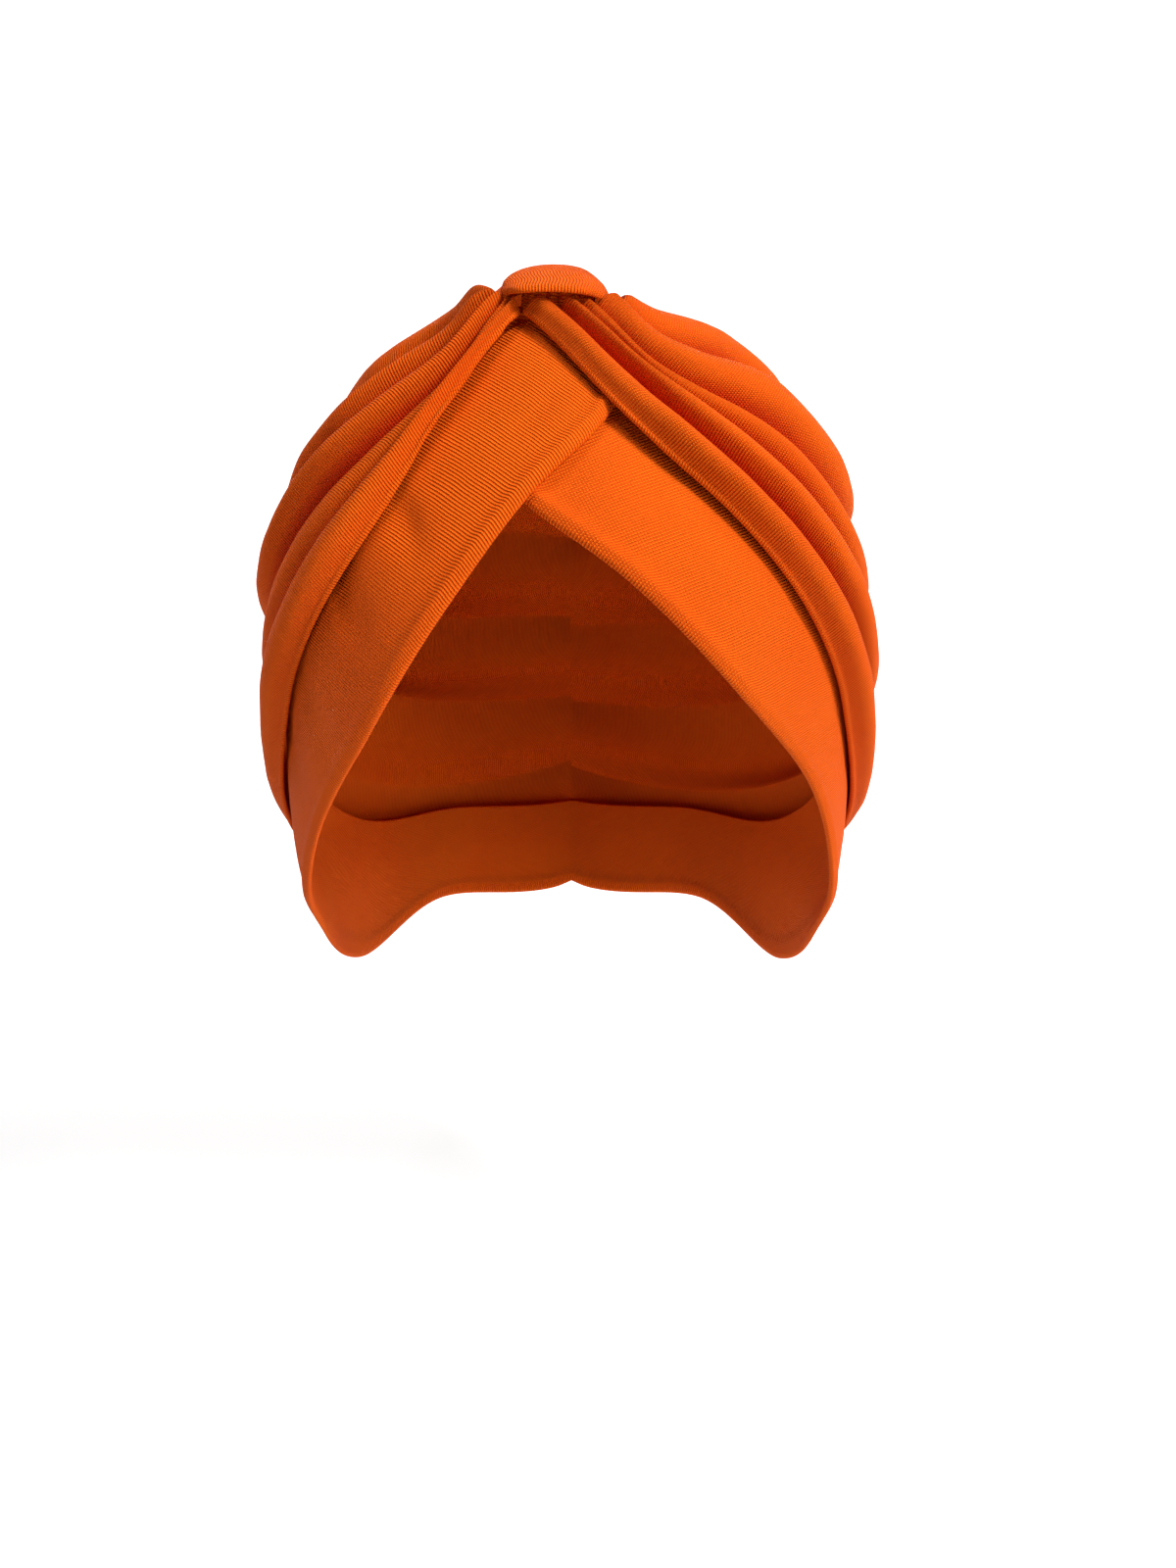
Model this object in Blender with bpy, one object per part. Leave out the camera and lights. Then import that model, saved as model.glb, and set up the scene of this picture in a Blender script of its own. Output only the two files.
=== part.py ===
"""Stretch jersey turban cap: two pleated crown panels, two crossed front bands, a gathered
bunch at the top of the front and the strap that arches over it.

The front faces -Y, +Z is up, and the origin is where the inside of the crown rests on the
head. Tables are in millimetres and degrees. A direction is given from the middle of the
head: azimuth 0 is the front, +90 the +X side, 180 the back; elevation 90 is straight up."""

import math

import bpy
import numpy as np

MM = 0.001

# The head that the cap fits. Every table below is drawn for these three sizes, and
# HEAD_SCALE carries a change in them to the whole cap.
HEAD_WIDTH = 152.8
HEAD_LENGTH = 179.6
CROWN_HEIGHT = 83.0
DRAWN_FOR = (152.8, 179.6, 83.0)
HEAD_SCALE = np.array((HEAD_WIDTH, HEAD_LENGTH, CROWN_HEIGHT)) / DRAWN_FOR
MIDDLE = np.array((0.0, 4.7, -DRAWN_FOR[2]))

# The form under the cloth: distance from the middle, a row for each elevation
FORM = np.array((
    # elevation, side, front, back
    (-60, 134.0, 136.0, 142.0),
    (-50, 111.5, 114.0, 121.0),
    (-40, 99.9, 100.0, 109.0),
    (-30, 89.8, 92.0, 102.0),
    (-20, 82.2, 87.0, 98.5),
    (-10, 77.8, 84.6, 96.5),
    (0, 76.4, 83.8, 95.8),
    (20, 76.2, 82.8, 93.0),
    (40, 77.4, 81.8, 88.5),
    (60, 79.8, 81.8, 84.6),
    (75, 82.0, 82.4, 83.4),
    (90, 83.0, 83.0, 83.0),
))

# The pinch where every fold starts: an ellipse round the knot, on a plane that rises
# towards the back
KNOT_X = -1.2
KNOT_Y = -23.5
KNOT_Z = 6.5
KNOT_SLOPE = 0.24
KNOT_HALF_WIDTH = 16.2
KNOT_HALF_DEPTH = 7.0

PANEL_WALL = 1.6
BAND_WALL = 1.8
SEAM_GAP = 0.35

# Where the stations of a crease lie along it, as shares, how far its foot is off the head
# after the pinch, and how much of each roll's height is there
STATIONS = (0.0, 0.16, 0.40, 0.64, 0.82, 1.0)
RIGHT_LIFT = (7.0, 5.0, 4.8, 4.7, 4.5)
LEFT_LIFT = (7.6, 4.6, 4.7, 4.7, 4.5)
ROLL_SHARE = (0.40, 0.74, 1.0, 0.88, 0.5, 0.0)
RISE_SHARE = (1.0, 1.0, 1.0, 1.0, 0.6, 0.0)

# Each row is a crease and the roll of cloth above it. "pinch" is its angle round the knot
# from the front, "rise" is how much shallower it is than the deepest creases, "roll" is the
# height of the roll. The other columns are azimuth and elevation at each station.
CREASE_COLUMNS = ("pinch", "near_az", "near_el", "mid_az", "mid_el", "side_az", "side_el",
                  "rear_az", "rear_el", "back_el", "rise", "roll")
RIGHT_CREASES = (
    (-30, 12, 51, 34, 30, 73, -22, 118, -48.5, -47, 0.8, 7.6),
    (2, 18, 58, 39, 37, 79, -11, 126, -38, -39, -2.4, 7.6),
    (18, 25, 57.5, 49, 42, 84, 5, 134, -23, -27, -1.4, 6.0),
    (34, 28, 60, 58, 47, 91, 20, 140, -6, -12, -2.4, 9.0),
    (70, 41, 65, 78, 58, 103, 40, 148, 18, 8, -2.4, 8.4),
    (118, 72, 77, 120, 66, 142, 50, 161, 36, 27, -2.4, 5.0),
    (175.6, 180, 88, 180, 74, 180, 62, 180, 52, 44, -1.6, 0.0),
)
LEFT_CREASES = (
    (-36, -28, 50, -40, 24, -73, -22, -118, -48.5, -47, 0.5, 5.6),
    (-44, -28.5, 51.8, -48.5, 27.5, -77, -8, -126, -37, -38, -0.4, 5.6),
    (-54, -33, 56, -58, 34, -85, 4, -134, -22, -26, -2.4, 7.6),
    (-66, -43, 62, -68, 41, -94, 17, -140, -6, -10, -2.4, 7.2),
    (-82, -56, 67, -80, 50, -104, 33, -148, 12, 6, -2.4, 7.2),
    (-122, -78, 75, -120, 65, -140, 49, -160, 36, 27, -1.8, 5.0),
    (-184.4, 180, 88, 180, 74, 180, 62, 180, 52, 44, -1.6, 0.0),
)

# Each row is a section of a band: its hem, then its upper edge under the crown, then how
# far it lies off the head. The left band lies over the right one where they cross.
BAND_COLUMNS = ("hem_az", "hem_el", "top_az", "top_el", "hem_lift", "top_lift")
BAND_LEFT = (
    (17, 55.5, -11, 68.8, 3.4, 8.2),
    (7, 47, -21.5, 66, 2.8, 6.6),
    (-6, 36, -30, 54.5, 2.3, 3.0),
    (-19, 18, -40, 37, 1.2, 1.2),
    (-33, -3, -53, 19, 0.5, 0.6),
    (-52, -25, -68, -5, 0.4, 0.6),
    (-75, -46, -92, -27, 0.8, 0.4),
    (-105, -57.5, -120, -43, 0.4, 0.4),
    (-143, -55.5, -150, -45, 0.4, 0.4),
    (-180, -55.2, -180, -45, 0.4, 0.4),
)
BAND_RIGHT = (
    (-20, 57, 0, 64, 0.6, 3.4),
    (-14, 46, 9, 60, 0.3, 1.6),
    (-7, 35.5, 20, 53, 0.3, 0.8),
    (12, 22, 33, 40, 0.4, 0.4),
    (31, 2, 48, 22, 0.5, 0.5),
    (53, -20, 65, -5, 1.4, 1.0),
    (75, -45, 92, -27, 2.4, 0.6),
    (105, -57.5, 120, -43, 1.0, 0.4),
    (143, -55.5, 150, -45, 0.4, 0.4),
    (180, -55.2, 180, -45, 0.4, 0.4),
)

# The strap, a row for each section across the front from one foot to the other:
# how far along X, how high its outer face is, and where its front and rear edges are
LOOP_SECTIONS = np.array((
    # x, height, front y, rear y
    (-14.0, 6.3, -24.8, -22.3),
    (-15.0, 8.4, -25.8, -21.6),
    (-14.2, 11.3, -27.6, -19.6),
    (-10.2, 13.1, -31.8, -15.4),
    (-3.0, 13.7, -33.0, -13.4),
    (4.6, 13.1, -32.6, -15.0),
    (9.3, 10.8, -28.8, -19.8),
    (11.4, 7.4, -26.2, -20.8),
    (11.6, 6.2, -25.4, -21.6),
))
LOOP_WALL = 1.6

# The bunch of cloth in the pinch, a row for each level
BUNCH_SECTIONS = (
    # height, half width, depth at the front, depth at the rear
    (3.0, 14.8, 3.2, 5.8),
    (4.2, 14.8, 3.2, 5.8),
    (4.9, 9.0, 4.6, 5.8),
    (8.6, 8.8, 5.2, 5.4),
    (10.4, 7.4, 4.4, 4.6),
    (11.2, 3.6, 2.2, 2.4),
)
FLUTES = 9
FLUTE_STEPS = 54

ALONG_PANEL = 31
ALONG_ROLL = 5
ALONG_BAND = 42
ACROSS_BAND = 6


def smooth(at, knots, values):
    """Values at each share, along a smooth curve through the knots."""
    knots = np.asarray(knots, float)
    values = np.asarray(values, float)
    at = np.clip(np.asarray(at, float), knots[0], knots[-1])
    slope = np.gradient(values, knots, axis=0)
    i = np.clip(np.searchsorted(knots, at, side="right") - 1, 0, len(knots) - 2)
    width = knots[i + 1] - knots[i]
    t = (at - knots[i]) / width
    if values.ndim > 1:
        t = t[..., None]
        width = width[..., None]
    return ((2 * t**3 - 3 * t**2 + 1) * values[i] + (t**3 - 2 * t**2 + t) * width * slope[i]
            + (3 * t**2 - 2 * t**3) * values[i + 1] + (t**3 - t**2) * width * slope[i + 1])


def direction(azimuth, elevation):
    a, e = np.radians(azimuth), np.radians(elevation)
    return np.stack([np.cos(e) * np.sin(a), -np.cos(e) * np.cos(a), np.sin(e)], axis=-1)


def unit(vectors):
    return vectors / np.linalg.norm(vectors, axis=-1, keepdims=True)


def form_radius(aim):
    """Distance from the middle to the head in each direction."""
    level = np.hypot(aim[..., 0], aim[..., 1])
    elevation = np.degrees(np.arctan2(aim[..., 2], level))
    side, front, back = (smooth(elevation, FORM[:, 0], FORM[:, k]) for k in (1, 2, 3))
    deep = np.where(aim[..., 1] < 0, front, back)
    flat = np.maximum(level, 1e-9)
    return 1 / np.hypot(aim[..., 0] / flat / side, aim[..., 1] / flat / deep)


def on_form(aim, lift):
    """Points in millimetres, this far off the head in each direction."""
    return (MIDDLE + aim * form_radius(aim)[..., None]) * HEAD_SCALE + aim * lift[..., None]


def pinch_point(angle):
    """A point of the pinch ellipse, from the middle."""
    a = math.radians(angle)
    y = -KNOT_HALF_DEPTH * math.cos(a)
    return np.array((KNOT_X + KNOT_HALF_WIDTH * math.sin(a), KNOT_Y + y,
                     KNOT_Z + KNOT_SLOPE * y)) - MIDDLE


def crease_path(row, shares):
    """Unit directions along one crease, from the pinch to the back."""
    c = dict(zip(CREASE_COLUMNS, row))
    rear = 180 if c["rear_az"] >= 0 else -180
    marks = [unit(pinch_point(c["pinch"])),
             direction(c["near_az"], c["near_el"]), direction(c["mid_az"], c["mid_el"]),
             direction(c["side_az"], c["side_el"]), direction(c["rear_az"], c["rear_el"]),
             direction(rear, c["back_el"])]
    return unit(smooth(shares, STATIONS, np.array(marks)))


def crease_lift(row, lift, shares):
    """How far a crease is off the head along it."""
    c = dict(zip(CREASE_COLUMNS, row))
    start = pinch_point(c["pinch"])
    pinch = np.linalg.norm(start) - form_radius(unit(start))
    rest = [v + c["rise"] * share for v, share in zip(lift, RISE_SHARE[1:])]
    return smooth(shares, STATIONS, [pinch] + rest)


def panel_surface(rows, lift, shares, across):
    """Directions and lifts of a pleated panel on a grid: along it, then across its rolls."""
    paths = np.array([crease_path(row, shares) for row in rows])
    low = [crease_lift(row, lift, shares)[:, None] for row in rows]
    share = smooth(shares, STATIONS, ROLL_SHARE)[:, None]
    near = np.clip(1 - shares / STATIONS[1], 0, 1)[:, None] ** 2
    aims, lifts = [], []
    for k in range(len(rows) - 1):
        s = across if k == len(rows) - 2 else across[:-1]
        w = s[None, :, None]
        start = np.array([pinch_point(rows[k][0] * (1 - v) + rows[k + 1][0] * v) for v in s])
        pinch = np.linalg.norm(start, axis=-1) - form_radius(unit(start))
        aim = unit(paths[k][:, None] * (1 - w) + paths[k + 1][:, None] * w)
        foot = low[k] * (1 - s) + low[k + 1] * s
        aims.append(unit(aim + near[..., None] * (unit(start) - aim[0])))
        arch = np.sin(np.pi * s) ** 0.72
        lifts.append(foot + near * (pinch - foot[0]) + share * rows[k][-1] * arch)
    return np.concatenate(aims, axis=1), np.concatenate(lifts, axis=1)


def solid(name, points, faces):
    """One closed solid of points in millimetres, its faces turned outwards."""
    mesh = bpy.data.meshes.new(name)
    mesh.from_pydata((points * MM).tolist(), [], [tuple(int(i) for i in f) for f in faces])
    if sum(mesh.vertices[p.vertices[0]].co.dot(p.normal) * p.area for p in mesh.polygons) < 0:
        mesh.flip_normals()
    obj = bpy.data.objects.new(name, mesh)
    bpy.context.scene.collection.objects.link(obj)
    return obj


def shell(name, outer, inner):
    """One closed solid between two grids of points."""
    n, m = outer.shape[:2]
    index = np.arange(n * m).reshape(n, m)
    faces = []
    for i in range(n - 1):
        for j in range(m - 1):
            a, b, c, d = index[i, j], index[i + 1, j], index[i + 1, j + 1], index[i, j + 1]
            faces.append((a, b, c, d))
            faces.append((d + n * m, c + n * m, b + n * m, a + n * m))
    rim = np.concatenate([index[:-1, 0], index[-1, :-1], index[:0:-1, -1], index[0, :0:-1]])
    for a, b in zip(rim, np.roll(rim, -1)):
        faces.append((b, a, a + n * m, b + n * m))
    return solid(name, np.concatenate([outer.reshape(-1, 3), inner.reshape(-1, 3)]), faces)


def crown_panel(name, rows, lift, side):
    shares = np.linspace(0, 1, ALONG_PANEL + 1)
    across = np.linspace(0, 1, ALONG_ROLL + 1)
    aims, lifts = panel_surface(rows, lift, shares, across)
    outer, inner = on_form(aims, lifts), on_form(aims, lifts - PANEL_WALL)
    shift = np.array((side * SEAM_GAP / 2, 0, 0))
    return shell(name, outer + shift, inner + shift)


def band(name, rows, side):
    rows = np.array(rows, float)
    shares = np.linspace(0, 1, len(rows))
    along = np.linspace(0, 1, ALONG_BAND + 1)
    across = np.linspace(0, 1, ACROSS_BAND + 1)
    hem = unit(smooth(along, shares, direction(rows[:, 0], rows[:, 1])))
    top = unit(smooth(along, shares, direction(rows[:, 2], rows[:, 3])))
    ends = smooth(along, shares, rows[:, 4:6])
    lift = ends[:, :1] * (1 - across) + ends[:, 1:] * across
    w = across[None, :, None]
    aims = unit(hem[:, None] * (1 - w) + top[:, None] * w)
    shift = np.array((side * SEAM_GAP / 2, 0, 0))
    return shell(name, on_form(aims, lift + BAND_WALL) + shift,
                 on_form(aims, lift) + shift)


def knot_loop():
    at = np.linspace(0, 1, 25)
    shares = np.linspace(0, 1, len(LOOP_SECTIONS))
    x, height, front, rear = (smooth(at, shares, LOOP_SECTIONS[:, k]) for k in range(4))
    dx, dz = np.gradient(x), np.gradient(height)
    size = np.hypot(dx, dz)
    nx, nz = -dz / size, dx / size
    across = np.linspace(0, 1, 7)
    outer, inner = [], []
    for v in across:
        y = front + (rear - front) * v
        dip = 1.0 * (2 * v - 1) ** 2
        z = height - dip + KNOT_SLOPE * (y - KNOT_Y)
        outer.append(np.stack([x, y, z], axis=-1))
        inner.append(np.stack([x - nx * LOOP_WALL, y, z - nz * LOOP_WALL], axis=-1))
    return shell("knot_loop", np.array(outer) * HEAD_SCALE, np.array(inner) * HEAD_SCALE)


def gathered_cloth():
    """The fluted bunch that fills the pinch, under the strap and clear of the panels."""
    turn = np.arange(FLUTE_STEPS) / FLUTE_STEPS * 2 * np.pi
    flute = 1 + 0.05 * np.cos(turn * FLUTES)
    rings = []
    for height, half_width, front, rear in BUNCH_SECTIONS:
        depth = np.where(np.cos(turn) > 0, front, rear)
        x = KNOT_X + half_width * flute * np.sin(turn)
        y = KNOT_Y - depth * flute * np.cos(turn)
        rings.append(np.stack([x, y, height + KNOT_SLOPE * (y - KNOT_Y)], axis=-1))
    n = FLUTE_STEPS
    faces = [tuple(range(n - 1, -1, -1)),
             tuple((len(rings) - 1) * n + i for i in range(n))]
    for r in range(len(rings) - 1):
        for i in range(n):
            j = (i + 1) % n
            faces.append((r * n + i, r * n + j, (r + 1) * n + j, (r + 1) * n + i))
    return solid("gathered_cloth", np.concatenate(rings) * HEAD_SCALE, faces)


for old in list(bpy.data.objects):
    bpy.data.objects.remove(old)
crown_panel("crown_left", LEFT_CREASES, LEFT_LIFT, -1)
crown_panel("crown_right", RIGHT_CREASES, RIGHT_LIFT, 1)
band("band_left", BAND_LEFT, -1)
band("band_right", BAND_RIGHT, 1)
gathered_cloth()
knot_loop()
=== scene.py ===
# %% [markdown]
# # Ready-tied jersey turban cap
# The cap is two pleated crown panels of orange stretch jersey, two smooth doubled bands that
# cross over the forehead, a bunch where every fold is pinched together, and a strap that
# arches over the bunch. All of it is soft cloth in the form that it keeps when it is worn.
#
# A sculpted mesh or a cloth simulation could make such folds, but neither gives the same
# pleats each time. Here the folds are computed from short tables of named sizes instead,
# which is how a pattern maker would note them, and then each piece gets its own wall,
# wrinkles and knit.

# %% Load the frame
import math

import bpy
import numpy as np
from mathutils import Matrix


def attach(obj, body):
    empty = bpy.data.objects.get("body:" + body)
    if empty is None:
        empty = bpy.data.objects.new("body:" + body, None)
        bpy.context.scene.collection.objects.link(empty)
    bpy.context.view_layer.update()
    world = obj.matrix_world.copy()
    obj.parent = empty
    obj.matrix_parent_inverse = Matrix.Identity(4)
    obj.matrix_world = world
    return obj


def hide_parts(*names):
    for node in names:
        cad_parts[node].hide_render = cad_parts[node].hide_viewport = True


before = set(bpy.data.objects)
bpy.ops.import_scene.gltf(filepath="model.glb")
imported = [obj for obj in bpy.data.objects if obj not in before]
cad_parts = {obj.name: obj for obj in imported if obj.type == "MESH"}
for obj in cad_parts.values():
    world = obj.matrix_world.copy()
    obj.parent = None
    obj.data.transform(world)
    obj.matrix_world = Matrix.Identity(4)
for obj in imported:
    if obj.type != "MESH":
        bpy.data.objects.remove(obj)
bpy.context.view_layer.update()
MM = 0.001
print("nodes:", sorted(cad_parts))

# %% [markdown]
# ## Camera
# The picture is taken from the front, a little above the forehead, looking 20 degrees down.
# The lens is given for the height of the frame, so that the picture is upright.

# %% Camera
FRAME_HEIGHT_MM = 36.0
LENS_MM = 31.95
CAMERA_PLACE = (0.006, -0.380, 0.012)
LOOK_DOWN = 20.0
CLIP_START = 0.01

camera_data = bpy.data.cameras.new("camera")
camera_data.sensor_fit = "VERTICAL"
camera_data.sensor_height = FRAME_HEIGHT_MM
camera_data.lens = LENS_MM
camera_data.clip_start = CLIP_START
camera = bpy.data.objects.new("camera", camera_data)
camera.location = CAMERA_PLACE
camera.rotation_euler = (math.radians(90 - LOOK_DOWN), 0, 0)
bpy.context.scene.collection.objects.link(camera)
bpy.context.scene.camera = camera
print("camera at", CAMERA_PLACE, "lens", LENS_MM)

# %% [markdown]
# ## The form under the cloth
# Stretch jersey takes the shape of what it is pulled over, so every point of the cap is
# given as a direction from the middle of the head and a height above the head there. That
# keeps the layers in order: a band with a small height can never come through a fold with
# a larger one. The head itself isn't a sphere, so its radius comes from a table.
#
# Lengths are in millimetres and angles in degrees. Azimuth 0 is the front, +90 the +X side
# and 180 the back; elevation 90 is straight up.

# %% The head form
MIDDLE = np.array((0.0, 4.7, -83.0))
FORM = np.array((
    # elevation, side, front, back
    (-60, 134.0, 136.0, 142.0),
    (-50, 111.5, 114.0, 121.0),
    (-40, 99.9, 100.0, 109.0),
    (-30, 89.8, 92.0, 102.0),
    (-20, 82.2, 87.0, 98.5),
    (-10, 77.8, 84.6, 96.5),
    (0, 76.4, 83.8, 95.8),
    (20, 76.2, 82.8, 93.0),
    (40, 77.4, 81.8, 88.5),
    (60, 79.8, 81.8, 84.6),
    (75, 82.0, 82.4, 83.4),
    (90, 83.0, 83.0, 83.0),
))


def smooth(at, knots, values):
    """Values at each share, along a smooth curve through the knots."""
    knots = np.asarray(knots, float)
    values = np.asarray(values, float)
    at = np.clip(np.asarray(at, float), knots[0], knots[-1])
    slope = np.gradient(values, knots, axis=0)
    i = np.clip(np.searchsorted(knots, at, side="right") - 1, 0, len(knots) - 2)
    width = knots[i + 1] - knots[i]
    t = (at - knots[i]) / width
    if values.ndim > 1:
        t = t[..., None]
        width = width[..., None]
    return ((2 * t**3 - 3 * t**2 + 1) * values[i] + (t**3 - 2 * t**2 + t) * width * slope[i]
            + (3 * t**2 - 2 * t**3) * values[i + 1] + (t**3 - t**2) * width * slope[i + 1])


def direction(azimuth, elevation):
    """The unit vector of each azimuth and elevation in degrees."""
    a, e = np.radians(azimuth), np.radians(elevation)
    return np.stack([np.cos(e) * np.sin(a), -np.cos(e) * np.cos(a), np.sin(e)], axis=-1)


def unit(vectors):
    return vectors / np.linalg.norm(vectors, axis=-1, keepdims=True)


def form_radius(aim):
    """Distance from the middle to the head in each direction."""
    level = np.hypot(aim[..., 0], aim[..., 1])
    elevation = np.degrees(np.arctan2(aim[..., 2], level))
    side, front, back = (smooth(elevation, FORM[:, 0], FORM[:, k]) for k in (1, 2, 3))
    deep = np.where(aim[..., 1] < 0, front, back)
    flat = np.maximum(level, 1e-9)
    return 1 / np.hypot(aim[..., 0] / flat / side, aim[..., 1] / flat / deep)


def on_form(aim, lift):
    """Points in millimetres, this far off the head in each direction."""
    return MIDDLE + aim * (form_radius(aim) + lift)[..., None]


print("forehead radius", round(float(form_radius(direction(0, 20))), 1), "mm")

# %% [markdown]
# ## A wandering value
# Real cloth is never quite even, so heights and edges wander a little. A table of random
# numbers from a fixed seed, blended smoothly from one cell to the next, does that the same
# way each run.

# %% Soft noise
NOISE_CELLS = 64
FINER = 2.1
COARSE_SHARE, FINE_SHARE = 0.7, 0.3


def soft_noise(u, v, seed):
    """Smooth values between -1 and 1, one cell of noise for each whole step of u and v."""
    table = np.random.default_rng(seed).uniform(-1, 1, (NOISE_CELLS, NOISE_CELLS))
    i, j = np.floor(u).astype(int), np.floor(v).astype(int)
    s, t = u - i, v - j
    s, t = s * s * (3 - 2 * s), t * t * (3 - 2 * t)
    i0, j0 = i % NOISE_CELLS, j % NOISE_CELLS
    i1, j1 = (i + 1) % NOISE_CELLS, (j + 1) % NOISE_CELLS
    return ((table[i0, j0] * (1 - s) + table[i1, j0] * s) * (1 - t)
            + (table[i0, j1] * (1 - s) + table[i1, j1] * s) * t)


def even_noise(u, v, seed):
    """The same with a finer layer over it, so that no cell shows."""
    return (soft_noise(u, v, seed) * COARSE_SHARE
            + soft_noise(u * FINER, v * FINER, seed + 1) * FINE_SHARE)


print("noise at one point", round(float(soft_noise(np.array(0.5), np.array(0.5), 3)), 3))

# %% [markdown]
# ## A wall for the cloth
# Each piece starts as a grid of points on its outer face and one on its inner face. The two
# are joined all round by a half circle of faces, because a folded or turned edge of jersey
# is round and never square. Blender's Solidify could thicken a single grid, but it would
# push the walls through each other in the sharp valleys between folds.
#
# The grid also carries how far each point is along and across the cloth, in metres. That
# is the piece's UV map, which the knit follows, and it drives the wrinkles too.

# %% Measures and edges of a grid
USUAL_WIDTH = 60


def measured(grid):
    """How far each point of a grid is along and across the cloth, in metres."""
    steps = np.linalg.norm(np.diff(grid, axis=0), axis=-1)
    along = np.concatenate([np.zeros((1, grid.shape[1])), np.cumsum(steps, axis=0)]) * MM
    rows = np.linalg.norm(np.diff(grid, axis=1), axis=-1)
    width = np.percentile(rows, USUAL_WIDTH, axis=0)
    across = np.concatenate([[0], np.cumsum(width)]) * MM
    return along, np.broadcast_to(across, along.shape)


def rim_of(index):
    """The indices round the edge of a grid, in order."""
    return np.concatenate([index[:-1, 0], index[-1, :-1], index[:0:-1, -1], index[0, :0:-1]])


def edge_aims(grid):
    """Which way the cloth ends at each edge of a grid of points."""
    away = np.zeros_like(grid)
    away[0] += unit(grid[0] - grid[1])
    away[-1] += unit(grid[-1] - grid[-2])
    away[:, 0] += unit(grid[:, 0] - grid[:, 1])
    away[:, -1] += unit(grid[:, -1] - grid[:, -2])
    return away.reshape(-1, 3)


def past(position, last):
    """+1 on the last row or column, -1 on the first and 0 between them."""
    return (position == last) * 1.0 - (position == 0)


print("rim of a grid of 9 points:", len(rim_of(np.arange(9).reshape(3, 3))), "points")

# %% [markdown]
# Every piece becomes a mesh in the same way, with its measures as attributes and as the UV
# map. The faces are turned outward, where the grids of a left-hand piece leave them inward.

# %% Mesh with its measures


def cloth_object(name, points, faces, facts):
    """An object from points in millimetres and named values for each point."""
    mesh = bpy.data.meshes.new(name)
    mesh.from_pydata((points * MM).tolist(), [], faces)
    volume = sum(mesh.vertices[p.vertices[0]].co.dot(p.normal) * p.area for p in mesh.polygons)
    if volume < 0:
        mesh.flip_normals()
    for key, values in facts.items():
        layer = mesh.attributes.new(key, "FLOAT", "POINT")
        layer.data.foreach_set("value", values.astype(np.float32))
    corners = np.empty(len(mesh.loops), np.int32)
    mesh.loops.foreach_get("vertex_index", corners)
    uv = np.stack([facts["along"][corners], facts["across"][corners]], axis=-1)
    mesh.uv_layers.new(name="cloth").data.foreach_set("uv", uv.astype(np.float32).ravel())
    mesh.polygons.foreach_set("use_smooth", np.ones(len(mesh.polygons), bool))
    obj = bpy.data.objects.new(name, mesh)
    bpy.context.scene.collection.objects.link(obj)
    print(name, len(faces), "faces,", round(float(facts["along"].max()) / MM), "mm along,",
          round(float(facts["across"].max()) / MM), "mm across")
    return obj


# %% Closed wall between two grids
EDGE_STEPS = 5


def cloth_wall(name, outer, inner, freedom, deep=None, slant=0.0):
    """A closed piece of cloth between two grids of points in millimetres."""
    n, m = outer.shape[:2]
    count = n * m
    index = np.arange(count).reshape(n, m)
    rim = rim_of(index)
    along, across = measured(outer)
    along = along + slant * across
    middle = (outer + inner) / 2
    mid, half = middle.reshape(-1, 3)[rim], ((outer - inner) / 2).reshape(-1, 3)[rim]
    thick = np.linalg.norm(half, axis=-1)
    reach = unit(edge_aims(middle)[rim]) * thick[:, None]
    points, rings = [outer.reshape(-1, 3), inner.reshape(-1, 3)], [rim]
    all_along, all_across = [along.ravel()] * 2, [across.ravel()] * 2
    for k in range(1, EDGE_STEPS):
        turn = math.pi * k / EDGE_STEPS
        arc = thick * min(turn, math.pi - turn) * MM
        points.append(mid + half * math.cos(turn) + reach * math.sin(turn))
        all_along.append(along.ravel()[rim] + past(rim // m, n - 1) * arc)
        all_across.append(across.ravel()[rim] + past(rim % m, m - 1) * arc)
        rings.append(np.arange(len(rim)) + 2 * count + (k - 1) * len(rim))
    rings.append(rim + count)
    a, b, c, d = index[:-1, :-1], index[1:, :-1], index[1:, 1:], index[:-1, 1:]
    faces = [np.stack([a, b, c, d], axis=-1).reshape(-1, 4),
             np.stack([d, c, b, a], axis=-1).reshape(-1, 4) + count]
    for near, far in zip(rings, rings[1:]):
        faces.append(np.stack([np.roll(near, -1), near, far, np.roll(far, -1)], axis=-1))
    points = np.concatenate(points)
    rest = np.zeros(len(points) - count)
    # deep is the mask of painted fold shade at the foot of tall rolls, 0 where a piece has
    # none.
    deep = np.zeros(count) if deep is None else deep.ravel()
    facts = {"along": np.concatenate(all_along), "across": np.concatenate(all_across),
             "freedom": np.concatenate([freedom.ravel(), rest]),
             "deep": np.concatenate([deep, rest])}
    return cloth_object(name, points, np.concatenate(faces).tolist(), facts)


print("a wall has", EDGE_STEPS, "steps round its edge")

# %% [markdown]
# ## The pleated crown
# Every fold of the crown starts at the pinch, which is an ellipse round the knot, runs over
# the head and ends at the seam down the back. The table has a row for each crease: the
# direction of five stations along it, and the height of the roll of cloth between it and
# the next crease. A smooth curve through the stations gives the crease.
#
# Between two creases the cloth rises in a roll. "flat" makes the top of the roll broader,
# and "lean" moves its ridge towards the lower crease, so that the roll stands steeply over
# the valley in front of it as a heavy fold does. "tied" is the share of its height that a
# roll keeps where it is pinched, and "shoulder" is a swelling just beside the knot.

# %% Crease tables
KNOT_X = -1.2
KNOT_Y = -23.5
KNOT_Z = 6.5
KNOT_SLOPE = 0.24
KNOT_HALF_WIDTH = 16.2
KNOT_HALF_DEPTH = 7.0
PANEL_WALL = 1.6
BAND_WALL = 1.8
SEAM_GAP = 0.35

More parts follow.
